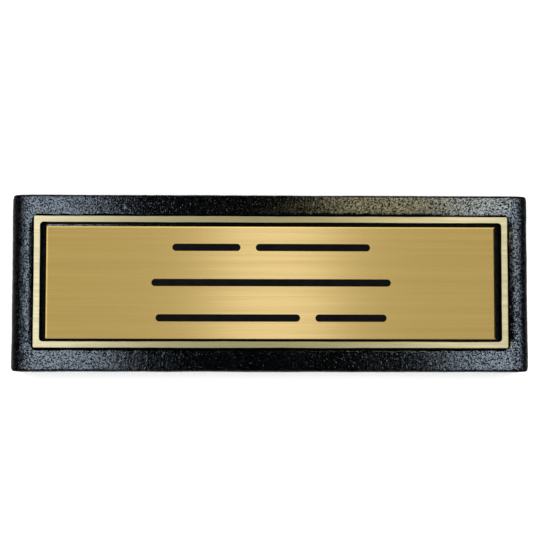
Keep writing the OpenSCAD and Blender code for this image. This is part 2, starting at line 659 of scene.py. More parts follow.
@dataclass(frozen=True)
class RecessPaintedShade:
    """Matt black with low specular, put in the recess as painted shade that keeps the narrow gaps beside the
    plate dark.
    """

    name: str = "recess_matt_black"
    colour: Colour = (0.0012, 0.0013, 0.0015)
    dust: Colour = (0.02, 0.02, 0.019)
    roughness: tuple[float, float] = (0.55, 0.8)
    specular: float = 0.12
    grain_depth: float = 0.05 * MM

    def make(self, effects: SharedEffects) -> bpy.types.Material:
        """Builds the material."""
        material, graph, shader = start_material(self.name)
        point = graph.place()
        sand = effects.use(graph, Effect.SAND, point, Scale=1700.0, Grit=0.5, Pores=1.0)
        dust = effects.use(graph, Effect.DUST, point, Scale=2400.0, Amount=0.05)
        surface = graph.blend(dust.outputs["Mask"], rgba(self.colour), rgba(self.dust))
        rough = graph.spread(sand.outputs["Pores"], 0.0, 1.0, *self.roughness)
        shader.inputs["Specular IOR Level"].default_value = self.specular
        graph.coat(shader, surface, rough, sand.outputs["Height"], self.grain_depth)
        return material


@dataclass(frozen=True)
class BrushedBrass:
    """Brass brushed along its length."""

    name: str
    colour: Colour
    tarnish: Colour
    roughness: tuple[float, float]
    anisotropy: float
    lines: float
    stretch: float
    tint: float
    patches: float
    line_depth: float

    def make(self, effects: SharedEffects) -> bpy.types.Material:
        """Builds the material."""
        material, graph, shader = start_material(self.name)
        point = graph.place()
        brush = effects.use(graph, Effect.BRUSH, point, Lines=self.lines, Stretch=self.stretch)
        blotch = effects.use(graph, Effect.BLOTCH, point, Scale=45.0)
        streak = graph.spread(brush.outputs["Streak"], 0.3, 0.7, 0.0, 1.0)
        shade = graph.math("MULTIPLY", streak, self.tint)
        aged = graph.math("ADD", shade, graph.math("MULTIPLY", blotch.outputs["Mask"], self.patches))
        surface = graph.blend(aged, rgba(self.colour), rgba(self.tarnish))
        low, high = self.roughness
        rough = graph.math("ADD", graph.math("MULTIPLY", streak, high - low), low)
        tangent = graph.add("ShaderNodeCombineXYZ", {"X": 0.0, "Y": 1.0, "Z": 0.0})
        shader.inputs["Metallic"].default_value = 1.0
        shader.inputs["Anisotropic"].default_value = self.anisotropy
        graph.tree.links.new(tangent.outputs[0], shader.inputs["Tangent"])
        graph.coat(shader, surface, rough, brush.outputs["Height"], self.line_depth)
        return material


@dataclass(frozen=True)
class InfillEnamel:
    """Black enamel pressed into the engraving."""

    name: str = "black_infill_enamel"
    colour: Colour = (0.0018, 0.0018, 0.0018)
    dust: Colour = (0.03, 0.027, 0.02)
    roughness: tuple[float, float] = (0.38, 0.55)
    specular: float = 0.12
    grain_depth: float = 0.01 * MM

    def make(self, effects: SharedEffects) -> bpy.types.Material:
        """Builds the material."""
        material, graph, shader = start_material(self.name)
        point = graph.place()
        blotch = effects.use(graph, Effect.BLOTCH, point, Scale=420.0)
        sand = effects.use(graph, Effect.SAND, point, Scale=4200.0, Grit=0.3)
        dust = effects.use(graph, Effect.DUST, point, Scale=2600.0, Amount=0.05)
        surface = graph.blend(dust.outputs["Mask"], rgba(self.colour), rgba(self.dust))
        rough = graph.spread(blotch.outputs["Mask"], 0.0, 1.0, *self.roughness)
        shader.inputs["Specular IOR Level"].default_value = self.specular
        graph.coat(shader, surface, rough, sand.outputs["Height"], self.grain_depth, 0.6)
        return material


@dataclass(frozen=True)
class PressedFelt:
    """Dense wool felt with a matted, fibrous face."""

    name: str = "pressed_felt"
    dark: Colour = (0.006, 0.022, 0.012)
    light: Colour = (0.018, 0.058, 0.031)
    roughness: tuple[float, float] = (0.85, 1.0)
    fibre_depth: float = 0.12 * MM
    swirl: float = 0.0016

    def make(self, effects: SharedEffects) -> bpy.types.Material:
        """Builds the material."""
        material, graph, shader = start_material(self.name)
        point = graph.place()
        swirl = graph.add("ShaderNodeTexNoise", {"Vector": point, "Scale": 500.0, "Detail": 3.0})
        bent = graph.add(
            "ShaderNodeVectorMath",
            {0: swirl.outputs["Color"], 1: (self.swirl,) * 3, 2: point},
            operation="MULTIPLY_ADD",
        ).outputs[0]
        fibres = effects.use(graph, Effect.BRUSH, bent, Lines=5200.0, Stretch=0.12)
        blotch = effects.use(graph, Effect.BLOTCH, point, Scale=300.0)
        tone = graph.math("MULTIPLY", fibres.outputs["Streak"], 0.7)
        mixed = graph.math("ADD", tone, graph.math("MULTIPLY", blotch.outputs["Mask"], 0.3), clamp=True)
        surface = graph.blend(mixed, rgba(self.dark), rgba(self.light))
        shader.inputs["Sheen Weight"].default_value = 0.35
        shader.inputs["Sheen Roughness"].default_value = 0.6
        shader.inputs["Specular IOR Level"].default_value = 0.15
        rough = graph.spread(fibres.outputs["Streak"], 0.2, 0.8, *self.roughness)
        graph.coat(shader, surface, rough, fibres.outputs["Height"], self.fibre_depth)
        return material


@dataclass(frozen=True)
class Bonding:
    """Resin, film or glue that holds two pieces together."""

    name: str
    colour: Colour
    shade: Colour
    roughness: tuple[float, float]
    grain_depth: float = 0.02 * MM

    def make(self, effects: SharedEffects) -> bpy.types.Material:
        """Builds the material."""
        material, graph, shader = start_material(self.name)
        point = graph.place()
        blotch = effects.use(graph, Effect.BLOTCH, point, Scale=260.0)
        sand = effects.use(graph, Effect.SAND, point, Scale=1500.0, Grit=0.5)
        surface = graph.blend(blotch.outputs["Mask"], rgba(self.colour), rgba(self.shade))
        rough = graph.spread(sand.outputs["Pores"], 0.0, 1.0, *self.roughness)
        graph.coat(shader, surface, rough, sand.outputs["Height"], self.grain_depth, 0.5)
        return material


# ---------------------------------------------------------------- sub-assemblies


@dataclass(frozen=True)
class EndShape:
    """How one end of the casting is dressed: a rolled edge, and a dip beside the frame."""

    reach: float
    drop: float
    skew: float
    dip_reach: float
    dip_radius: float


@dataclass
class CastBase:
    """The casting: sand-textured enamel, rolled ends and a pocket for frame and plate."""

    cells: Cells = Cells(380, 128, 8)
    corner_radius: float = 1.0 * MM
    foot_bevel: float = 0.5 * MM
    left_end: EndShape = EndShape(4.1 * MM, 2.9 * MM, 0.0 * MM, 1.7 * MM, 6.0 * MM)
    right_end: EndShape = EndShape(3.0 * MM, 2.15 * MM, 0.45 * MM, 1.9 * MM, 5.5 * MM)
    end_coat: float = 0.12 * MM
    side_roll: float = 0.38 * MM
    dip_fade: tuple[float, float] = (4.8 * MM, 7.5 * MM)
    frame_clearance: float = 0.3 * MM
    pocket_depth: float = 1.0 * MM
    rim_radius: float = 0.45 * MM
    rim_wobble: float = 0.7
    pocket_corner: float = 1.2 * MM
    wall_rows: int = 26
    roll_rows: int = 12
    field_rows: int = 15
    rim_rows: int = 3
    floor_reach: float = 3.6 * MM
    floor_rows: int = 18
    field_grain: float = 0.007 * MM
    end_grain: float = 0.016 * MM
    end_grain_fade: tuple[float, float] = (2.5 * MM, 6.0 * MM)
    wall_grain: float = 0.028 * MM
    chip_depth: float = 0.35 * MM
    side_chips: float = 0.2
    chip_band: float = 0.8 * MM
    pit_count: int = 16
    pit_margin: float = 0.8 * MM
    shade_reach: float = 0.29 * MM
    level_band: tuple[float, float] = (0.86, 0.995)
    sheen_strip: float = 0.6 * MM
    sheen_end: float = -22.0 * MM
    seed: int = 4
    outline_waves: tuple[Wave, ...] = ((9 * MM, 1, 0.07 * MM),)
    pocket_waves: tuple[Wave, ...] = ((5 * MM, 3, 0.05 * MM),)
    rim_wave: float = 1.6 * MM
    grains: tuple[Wave, ...] = ((0.7 * MM, 7, 1.0), (1.25 * MM, 8, 0.6))
    swells: tuple[Wave, ...] = ((16 * MM, 9, 0.05 * MM), (5 * MM, 10, 0.01 * MM))
    chip_wave: float = 1.8 * MM
    chip_limit: float = 0.40

    def __post_init__(self) -> None:
        """Reads the places of the casting, the frame and the plate."""
        self.box = Box("cast_base")
        self.frame_box = Box("border_frame")
        self.plate_box = Box("name_plate")

    def pocket(self) -> Outline:
        """Outline of the pocket's wall."""
        half = self.frame_box.half
        grown = (half[0] + self.frame_clearance, half[1] + self.frame_clearance)
        return Outline(self.frame_box.centre, grown, self.pocket_corner)

    def _roll_reach(self, stations: np.ndarray) -> np.ndarray:
        """Width of the rolled edge that each station of the outer outline crosses."""
        turn = smooth_step(0.0, 1.0, np.abs(stations[:, 2]))
        end = np.where(stations[:, 2] < 0, self.left_end.reach, self.right_end.reach)
        return self.side_roll + (end - self.side_roll) * turn

    def _drop(self, points: np.ndarray) -> np.ndarray:
        """How far the top surface lies below the casting's full height, at each place."""
        cx, cy = self.box.centre
        hx, hy = self.box.half
        aside = (points[:, 1] - cy) / hy
        from_side = np.maximum(hy - np.abs(points[:, 1] - cy), 0)
        total = quarter_round(from_side, self.side_roll, self.side_roll)
        fade = smooth_step(*self.dip_fade, from_side)
        pocket = self.pocket()
        for sign, end in ((-1, self.left_end), (1, self.right_end)):
            from_end = np.maximum(hx - sign * (points[:, 0] - cx), 0)
            total += quarter_round(from_end, end.reach + end.skew * aside, end.drop)
            from_pocket = sign * (points[:, 0] - pocket.centre[0]) - pocket.half[0]
            inside = np.clip(end.dip_reach - from_pocket, 0, end.dip_reach)
            total += fade * inside**2 / (2 * end.dip_radius)
        return total

    def build(self) -> bpy.types.Mesh:
        """Builds the casting's skin.

        Returns:
            The closed mesh.
        """
        low, high = self.box.low.z, self.box.high.z
        half_x, half_y = self.box.half
        outer_line = Outline(self.box.centre, (half_x + self.end_coat, half_y), self.corner_radius)
        outer = outer_line.walk(self.cells)
        outer[:, :2] += outer[:, 2:] * waves(ring(outer, 0), self.outline_waves)[:, None]
        pocket = self.pocket()
        inner = pocket.walk(self.cells)
        inner[:, :2] += inner[:, 2:] * waves(ring(inner, 0), self.pocket_waves)[:, None]
        width = np.linalg.norm(inner[:, :2] - outer[:, :2], axis=1)
        reach_in = self._roll_reach(outer)
        shoulder = high - self._drop(ring(outer, high))
        loft = Loft()
        for inset in (4 * MM, 2 * MM, self.foot_bevel):
            loft.add(ring(outer_line.inset(inset).walk(self.cells), low))
        wall_low = low + self.foot_bevel
        for k in range(self.wall_rows + 1):
            loft.add(ring(outer, wall_low + (shoulder - wall_low) * k / self.wall_rows))

        def top(reach: np.ndarray, sunk: float | np.ndarray = 0.0) -> np.ndarray:
            """Ring on the top surface, at a reach from the outer outline and sunk by a depth."""
            part = (reach / width)[:, None]
            moved = outer.copy()
            moved[:, :2] += (inner[:, :2] - outer[:, :2]) * part
            level = ring(moved, high)
            level[:, 2] -= self._drop(level) + sunk
            return level

        for k in range(1, self.roll_rows + 1):
            angle = k / self.roll_rows * math.pi / 2
            loft.add(top(reach_in * (1 - math.cos(angle))))
        edge_rows = len(loft.rings)
        rim = self.rim_radius * (1 + self.rim_wobble * wander(ring(inner, 0), self.rim_wave, 5))
        rim_start = width - rim
        for k in range(1, self.field_rows + 1):
            loft.add(top(reach_in + (rim_start - reach_in) * k / self.field_rows))
        for k in range(1, self.rim_rows + 1):
            angle = k / self.rim_rows * math.pi / 2
            loft.add(top(rim_start + rim * math.sin(angle), rim * (1 - math.cos(angle))))
        floor = high - self.pocket_depth
        wall_top = loft.rings[-1][:, 2]
        for k in range(1, self.rim_rows + 1):
            loft.add(ring(inner, wall_top + (floor - wall_top) * k / self.rim_rows))
        for k in range(1, self.floor_rows + 1):
            inset = self.floor_reach * k / self.floor_rows
            loft.add(ring(pocket.inset(inset).walk(self.cells), floor))
        pits = self._pits()
        first_textured = 3

        def texture(points: np.ndarray, normals: np.ndarray, row: int) -> np.ndarray:
            """Sand grains, soft unevenness and pits, in metres along the normal."""
            if row < first_textured or row == len(loft.rings) - 1:
                return np.zeros(len(points))
            level = smooth_step(*self.level_band, np.abs(normals[:, 2]))
            from_end = self.box.half[0] - np.abs(points[:, 0] - self.box.centre[0])
            inland = smooth_step(*self.end_grain_fade, from_end)
            flat_grain = self.end_grain + (self.field_grain - self.end_grain) * inland
            depth = self.wall_grain + (flat_grain - self.wall_grain) * level
            sunk = np.zeros(len(points))
            for x, y, size, deep in pits:
                gap = np.hypot(points[:, 0] - x, points[:, 1] - y)
                sunk = np.maximum(sunk, deep * np.exp(-((gap / size) ** 2)))
            facing_up = np.clip(normals[:, 2], 0, 1)
            on_edge = np.exp(-(((points[:, 2] - shoulder) / self.chip_band) ** 2)) * (row < edge_rows)
            on_edge *= self.side_chips + (1 - self.side_chips) * np.abs(normals[:, 0])
            broken = np.maximum(wander(points, self.chip_wave, 2) - self.chip_limit, 0)
            rough = waves(points, self.grains) * depth + waves(points, self.swells)
            return rough - sunk * facing_up - broken * self.chip_depth * on_edge

        loft.displace(texture)
        mesh = loft.mesh("cast_base_skin")
        self._paint_recess_shade(mesh, floor)
        return mesh

    def _paint_recess_shade(self, mesh: bpy.types.Mesh, floor: float) -> None:
        """Gives the recess floor the matt black painted shade, apart from a strip behind the plate that
        keeps the gloss enamel.
        """
        edge = self.plate_box.high.y
        for face in mesh.polygons:
            x, y, z = face.center
            in_pocket = z < floor + 0.6 * self.pocket_depth and z > floor - 0.3 * MM
            in_x = abs(x - self.frame_box.centre[0]) < self.frame_box.half[0] + self.shade_reach
            in_y = abs(y - self.frame_box.centre[1]) < self.frame_box.half[1] + self.shade_reach
            behind = self.plate_box.low.x < x < self.plate_box.centre[0] + self.sheen_end
            glossy = behind and edge - 0.2 * MM < y < edge + self.sheen_strip
            # Painted shade: these faces of the pocket floor and of its wall's foot take the matt black.
            if in_pocket and in_x and in_y and not glossy:
                face.material_index = 1

    def _pits(self) -> list[tuple[float, float, float, float]]:
        """Blow holes in the field: place, radius and depth of each."""
        draw = random.Random(self.seed)
        cx, cy = self.box.centre
        hx, hy = self.box.half
        found = []
        while len(found) < self.pit_count:
            x, y = draw.uniform(-hx, hx), draw.uniform(-hy, hy)
            inside = abs(x) < self.frame_box.half[0] + MM and abs(y) < self.frame_box.half[1] + MM
            if inside or hx - abs(x) < self.pit_margin or hy - abs(y) < self.pit_margin:
                continue
            size = draw.uniform(0.18, 0.28) * MM
            found.append((cx + x, cy + y, size, draw.uniform(0.05, 0.12) * MM))
        return found

    def dress(self, enamel: bpy.types.Material, recess_shade: bpy.types.Material) -> None:
        """Puts the casting in the scene."""
        # The second material is the recess's matt black painted shade.
        place("casting", self.build(), [enamel, recess_shade], "black_textured_casting", ["cast_base"])


@dataclass
class BorderFrame:
    """The proud frame: an enamelled outer wall, an inner wall in the matt black painted shade, and a top
    rubbed back to brushed brass.
    """

    cells: Cells = Cells(300, 90, 7)
    outer_radius: float = 0.3 * MM
    inner_radius: float = 0.8 * MM
    bar: float = 1.4 * MM
    edge_wave: float = 0.055 * MM
    arris: float = 0.06 * MM
    wall_rows: int = 4
    top_steps: tuple[float, ...] = (0.0, 0.03, 0.12, 0.3, 0.5, 0.7, 0.88, 0.97, 1.0)

    def __post_init__(self) -> None:
        """Reads the place of the frame."""
        self.box = Box("border_frame")

    def build(self) -> bpy.types.Mesh:
        """Builds the ring: 0 is the rubbed top, 1 the enamelled outer wall, 2 the inner wall in matt black
        painted shade.

        Returns:
            The closed mesh.
        """
        low, high = self.box.low.z, self.box.high.z
        outer_line = Outline(self.box.centre, self.box.half, self.outer_radius)
        outer = outer_line.walk(self.cells)
        opening = (self.box.half[0] - self.bar, self.box.half[1] - self.bar)
        inner = Outline(self.box.centre, opening, self.inner_radius).walk(self.cells)
        for line, seed in ((outer, 21), (inner, 31)):
            points = ring(line, 0)
            wave = wander(points, 14 * MM, seed) + 0.5 * wander(points, 3.5 * MM, seed + 1)
            line[:, :2] += line[:, 2:] * (wave * self.edge_wave)[:, None]
        rings: list[tuple[np.ndarray, int]] = []
        shoulder = high - self.arris
        for k in range(self.wall_rows + 1):
            rings.append((ring(outer, low + (shoulder - low) * k / self.wall_rows), 1))
        width = np.linalg.norm(inner[:, :2] - outer[:, :2], axis=1)
        for t in self.top_steps:
            reach = self.arris + (width - 2 * self.arris) * t
            line = outer.copy()
            line[:, :2] += (inner[:, :2] - outer[:, :2]) * (reach / width)[:, None]
            rings.append((ring(line, high), 0))
        rings.append((ring(inner, shoulder), 0))
        for k in range(1, self.wall_rows + 1):
            rings.append((ring(inner, shoulder + (low - shoulder) * k / self.wall_rows), 2))
        return self._close(rings)

    @staticmethod
    def _close(rings: list[tuple[np.ndarray, int]]) -> bpy.types.Mesh:
        """Joins the rings into a closed band, last to first."""
        count = len(rings[0][0])
        faces, indices = [], []
        for row in range(len(rings)):
            following = (row + 1) % len(rings)
            faces += band(row * count, following * count, count)
            indices += [rings[following][1]] * count
        points = np.concatenate([points for points, _ in rings])
        smooth = [index == 0 for index in indices]
        return new_mesh("border_frame_ring", points, faces, smooth, indices)

    def dress(self, finishes: Sequence[bpy.types.Material]) -> None:
        """Puts the frame in the scene."""
        place("frame_ring", self.build(), finishes, "pale_brushed_brass", ["border_frame"])


@dataclass
class NamePlate:
    """The engraved plate: bevelled brass, five plain engraved bars and their infill."""

    bevel_width: float = 0.30 * MM
    bevel_height: float = 0.05 * MM
    corner_radius: float = 0.12 * MM
    depth: float = 0.3 * MM
    lip: float = 0.04 * MM
    taper: float = 0.05 * MM
    arc_cells: int = 14
    meniscus: float = 0.05 * MM
    under_edge: float = 0.05 * MM
    fill_gap: float = 0.005 * MM
    fill_lift: float = 0.002 * MM
    fill_rings: tuple[tuple[float, float], ...] = ((0.012 * MM, 0.0), (0.10 * MM, 0.5), (0.28 * MM, 1.0))

    def __post_init__(self) -> None:
        """Reads the places of the plate and of its marks."""
        self.box = Box("name_plate")
        self.marks = self._mark_boxes()
        self.fill_box = Box("engraving_fill")

    @staticmethod
    def _mark_boxes() -> list[tuple[float, float, float, float]]:
        """Low x, low y, high x and high y of each mark, read from the infill's solids."""
        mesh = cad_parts["engraving_fill"].data
        parent = list(range(len(mesh.vertices)))
        places: dict[tuple[float, ...], int] = {}

        def find(index: int) -> int:
            """The number that stands for a vertex's solid."""
            while parent[index] != index:
                parent[index] = parent[parent[index]]
                index = parent[index]
            return index

        for vertex in mesh.vertices:
            key = tuple(round(c, 7) for c in vertex.co)
            parent[find(vertex.index)] = find(places.setdefault(key, vertex.index))
        for edge in mesh.edges:
            parent[find(edge.vertices[0])] = find(edge.vertices[1])
        groups: dict[int, list[Vector]] = {}
        for vertex in mesh.vertices:
            groups.setdefault(find(vertex.index), []).append(vertex.co)
        boxes = [
            (min(p.x for p in g), min(p.y for p in g), max(p.x for p in g), max(p.y for p in g))
            for g in groups.values()
        ]
        return sorted(boxes, key=lambda b: (-round(b[1], 4), b[0]))

    def _slot(self, mark: tuple[float, float, float, float], grow: float, height: float) -> np.ndarray:
        """Round-ended outline of a mark, grown by a distance, at a height."""
        x0, y0, x1, y1 = mark
        radius = (y1 - y0) / 2
        centre_y = (y0 + y1) / 2
        points = []
        for side, middle in ((1, x1 - radius), (-1, x0 + radius)):
            for i in range(self.arc_cells + 1):
                angle = (i / self.arc_cells - 0.5) * math.pi + (0 if side > 0 else math.pi)
                reach = radius + grow
                points.append((middle + reach * math.cos(angle), centre_y + reach * math.sin(angle), height))
        return np.array(points)

    def build_plate(self) -> bpy.types.Mesh:
        """Builds the plate with its engraving cut in.

        Returns:
            The closed mesh.
        """
        low, high = self.box.low.z, self.box.high.z
        cells = Cells(1, 1, 4)
        line = Outline(self.box.centre, self.box.half, self.corner_radius)
        made = bmesh.new()

        def loop(points: np.ndarray) -> list[Any]:
            """Adds a ring of vertices."""
            return [made.verts.new(tuple(p)) for p in points]

        def join(first: list[Any], second: list[Any]) -> None:
            """Joins two rings with quads."""
            for i in range(len(first)):
                j = (i + 1) % len(first)
                made.faces.new((first[i], first[j], second[j], second[i]))

        bottom = loop(ring(line.inset(self.under_edge).walk(cells), low))
        waist = loop(ring(line.walk(cells), low + self.under_edge))
        shoulder = loop(ring(line.walk(cells), high - self.bevel_height))
        face = loop(ring(line.inset(self.bevel_width).walk(cells), high))
        made.faces.new(bottom[::-1])
        for first, second in ((bottom, waist), (waist, shoulder), (shoulder, face)):
            join(first, second)
        rims = [face]
        for mark in self.marks:
            lip = loop(self._slot(mark, self.lip, high))
            wall = loop(self._slot(mark, 0.0, high - self.lip))
            foot = loop(self._slot(mark, -self.taper, high - self.depth))
            join(wall, lip)
            join(foot, wall)
            made.faces.new(foot)
            rims.append(lip)
        edges = []
        for rim in rims:
            for i, vertex in enumerate(rim):
                other = rim[(i + 1) % len(rim)]
                edges.append(made.edges.get((vertex, other)))
        bmesh.ops.triangle_fill(made, use_beauty=True, use_dissolve=False, edges=edges, normal=(0, 0, 1))
        bmesh.ops.recalc_face_normals(made, faces=made.faces)
        mesh = bpy.data.meshes.new("name_plate_body")
        made.to_mesh(mesh)
        made.free()
        return mesh

    def build_fill(self) -> bpy.types.Mesh:
        """Builds the infill of every mark as one mesh of separate solids.

        Returns:
            The mesh.
        """
        floor = self.box.high.z - self.depth
        level = self.fill_box.high.z
        points: list[Point] = []
        faces: list[tuple[int, ...]] = []
        for mark in self.marks:
            rings = [self._slot(mark, -self.taper - self.fill_gap, floor + self.fill_lift)]
            for inset, part in self.fill_rings:
                rings.append(self._slot(mark, -inset, level - part * self.meniscus))
            count = len(rings[0])
            start = len(points)
            points += [tuple(p) for one in rings for p in one]
            faces.append(tuple(start + i for i in reversed(range(count))))
            last = start + (len(rings) - 1) * count
            for base in range(start, last, count):
                faces += band(base, base + count, count)
            faces.append(tuple(last + i for i in range(count)))
        return new_mesh("engraving_infill", points, faces, [len(face) == 4 for face in faces])

    def dress(self, brass: bpy.types.Material, enamel: bpy.types.Material) -> None:
        """Puts the plate and its infill in the scene."""
        place("plate", self.build_plate(), [brass], "gold_brushed_brass", ["name_plate"])
        place("infill", self.build_fill(), [enamel], "black_infill", ["engraving_fill"])


@dataclass
class FeltPad:
    """The felt under the casting: a cut sheet with a soft, slightly ragged edge."""

    cells: Cells = Cells(300, 92, 14)
    corner_radius: float = 3.0 * MM
    edge_round: float = 0.25 * MM
    edge_rows: int = 6
    seed: int = 12
    fibre_count: int = 900
    fibre_rings: int = 5
    edge_gap: float = 0.12 * MM
    edge_waves: tuple[Wave, ...] = ((2.2 * MM, 51, 0.07 * MM), (11 * MM, 52, 0.06 * MM))

    def __post_init__(self) -> None:
        """Reads the place of the felt."""
        self.box = Box("felt_pad")

    def build(self) -> bpy.types.Mesh:
        """Builds the pad.

        Returns:
            The closed mesh.
        """
        low, high = self.box.low.z, self.box.high.z
        line = Outline(self.box.centre, self.box.half, self.corner_radius)
        wave = waves(ring(line.inset(self.edge_gap).walk(self.cells), 0), self.edge_waves)
        loft = Loft()

        def edge(inset: float, height: float, sway: float) -> None:
            """Adds a ring near the cut edge."""
            stations = line.inset(self.edge_gap + inset).walk(self.cells)
            stations[:, :2] += stations[:, 2:] * (wave * sway)[:, None]
            loft.add(ring(stations, height))

        for inset in (2.6, 1.9, 1.2, 0.7):
            edge(inset * MM, low, 0.3)
        for k in range(self.edge_rows + 1):
            angle = k / self.edge_rows * math.pi / 2
            gone = self.edge_round * (1 - math.sin(angle))
            edge(gone, low + self.edge_round * (1 - math.cos(angle)), 1.0)
        for k in range(1, self.edge_rows + 1):
            t = k / self.edge_rows
            edge(0.0, low + self.edge_round + (high - low - self.edge_round) * t, 1.0)
        edge(0.8 * MM, high, 0.5)

        def matted(points: np.ndarray, normals: np.ndarray, row: int) -> np.ndarray:
            """Matted fibres, in metres; the faces that touch the floor and the glue stay flat."""
            flat = row < 3 or row >= len(loft.rings) - 2
            return (0.0 if flat else 1.0) * (wander(points, 0.5 * MM, 55) - 0.4) * 0.09 * MM

        loft.displace(matted)
        for row, points in enumerate(loft.rings):
            points[:, 2] = np.clip(points[:, 2], low, high)
            loft.rings[row] = points
        return loft.mesh("felt_sheet")

    def build_fibres(self) -> bpy.types.Mesh:
        """Builds the loose fibres that stand out of the cut edge.

        Returns:
            A mesh of thin bent three-sided tubes.
        """
        draw = random.Random(self.seed)
        low, high = self.box.low.z, self.box.high.z
        line = Outline(self.box.centre, self.box.half, self.corner_radius).inset(0.1 * MM)
        stations = line.walk(Cells(1200, 400, 40))
        points: list[Point] = []
        faces: list[tuple[int, ...]] = []
        for _ in range(self.fibre_count):
            x, y, nx, ny = stations[draw.randrange(len(stations))]
            root = 0.15 * MM
            start = Vector((x - nx * root, y - ny * root, draw.uniform(low + root, high - 0.1 * MM)))
            heading = Vector((nx, ny, draw.uniform(-0.5, 0.5)))
            heading += Vector((-ny, nx, 0)) * draw.uniform(-1.2, 1.2)
            step = heading.normalized() * draw.uniform(0.07, 0.16) * MM
            curl = Vector([draw.uniform(-0.05, 0.05) * MM for _ in range(3)])
            radius = draw.uniform(0.006, 0.011) * MM
            here = start
            first = len(points)
            for k in range(self.fibre_rings):
                side = step.cross(Vector((0.3, 0.2, 1))).normalized()
                other = step.cross(side).normalized()
                thin = radius * (1 - 0.7 * k / (self.fibre_rings - 1))
                for c in range(3):
                    angle = c * math.tau / 3
                    around = side * math.cos(angle) + other * math.sin(angle)
                    corner = here + around * thin
                    points.append((corner.x, corner.y, max(corner.z, low)))
                here = here + step
                step = step + curl
            faces.append((first, first + 1, first + 2))
            for k in range(self.fibre_rings - 1):
                for c in range(3):
                    d = (c + 1) % 3
                    base, above = first + 3 * k, first + 3 * (k + 1)
                    faces.append((base + d, base + c, above + c, above + d))
            last = first + 3 * (self.fibre_rings - 1)
            faces.append((last + 2, last + 1, last))
        return new_mesh("felt_edge_fibres", points, faces, [False] * len(faces))

    def dress(self, felt: bpy.types.Material) -> None:
        pad = place("felt_sheet", self.build(), [felt], "green_felt", ["felt_pad"])
        fibres = place("felt_fibres", self.build_fibres(), [felt], "green_felt")


# ---------------------------------------------------------------- studio


class Lit(Enum):
    """Which pieces a light falls on."""

    PAINT = ("casting", "felt_sheet", "felt_fibres", "felt_glue", "frame_bond")
    FRAME = ("frame_ring",)
    PLATE = ("plate", "infill", "plate_film")
    FLOOR = ("floor", "felt_sheet", "felt_fibres", "felt_glue")


@dataclass(frozen=True)
class Softbox:
    """A flat studio light; strength is its radiance, so its size doesn't change its brightness."""

    name: str
    low: tuple[float, float]
    high: tuple[float, float]
    height: float
    strength: float
    colour: Colour
    lit: Lit
    turn: float = 0.0

    def make(self) -> None:
        """Adds the light, facing down and turned in its own plane by so many degrees."""
        width, depth = self.high[0] - self.low[0], self.high[1] - self.low[1]
        light = add_light(area_lamp(self.name, width, depth, self.strength), self.lit)
        light.data.color = self.colour
        middle = [(a + b) / 2 for a, b in zip(self.low, self.high)]
        light.location = (*middle, self.height)
        light.rotation_euler.z = math.radians(self.turn)


def area_lamp(name: str, width: float, depth: float, strength: float) -> bpy.types.Light:
    """Makes a rectangular lamp whose strength is its radiance."""
    lamp = bpy.data.lights.new(name, "AREA")
    lamp.shape = "RECTANGLE"
    lamp.size, lamp.size_y = width, depth
    lamp.energy = strength * width * depth * math.pi
    return lamp


def add_light(lamp: bpy.types.Light, lit: Lit) -> bpy.types.Object:
    """Puts a lamp in the scene and limits it to some of the pieces.

    Args:
        lamp: The lamp.
        lit: The pieces that it falls on.

    Returns:
        The light, still at the origin.
    """
    light = bpy.data.objects.new(lamp.name, lamp)
    light.visible_camera = False
    bpy.context.scene.collection.objects.link(light)
    group = bpy.data.collections.new(lamp.name + "_receivers")
    for name in lit.value:
        group.objects.link(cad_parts.get(name) or bpy.data.objects[name])
    light.light_linking.receiver_collection = group
    LOG.info("light %s falls on %s", lamp.name, ", ".join(lit.value))
    return light


